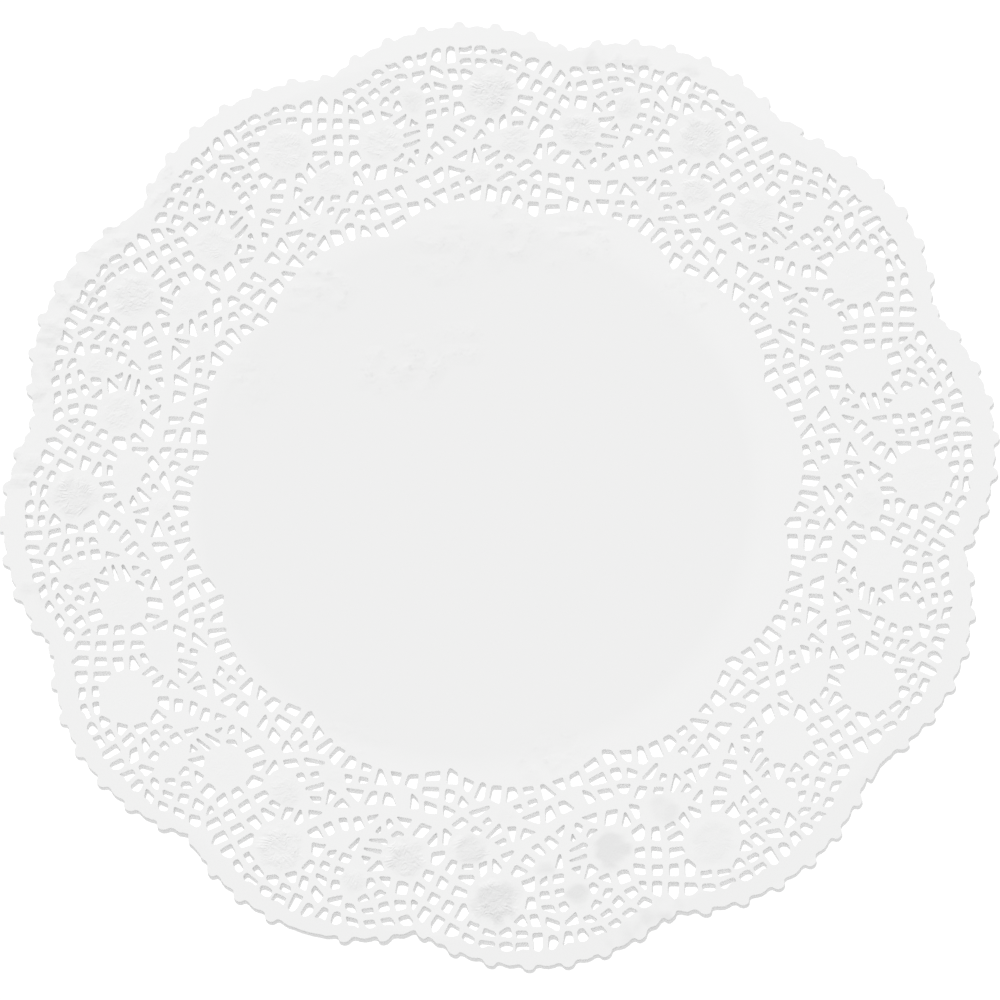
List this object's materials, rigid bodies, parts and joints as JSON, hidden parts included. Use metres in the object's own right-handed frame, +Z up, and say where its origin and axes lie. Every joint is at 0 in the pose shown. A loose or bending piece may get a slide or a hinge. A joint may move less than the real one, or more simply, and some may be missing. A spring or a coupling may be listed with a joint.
{
  "type": "paper doily",
  "caption": "Round die-cut paper doily with a plain centre, a lace border of roses and leaves, and a scalloped picot rim, lying flat.",
  "frame": {"origin": "centre of the doily on the underside that lies on the table", "axes": "+Z up out of the sheet, +Y from the centre through one of the large roses of the border"},
  "size_m": [0.36, 0.36, 0.0015],
  "materials": {
    "paper": "uncoated white lace paper, matte, faintly embossed"
  },
  "bodies": {
    "root": {"doily": "paper"}
  },
  "joints": []
}
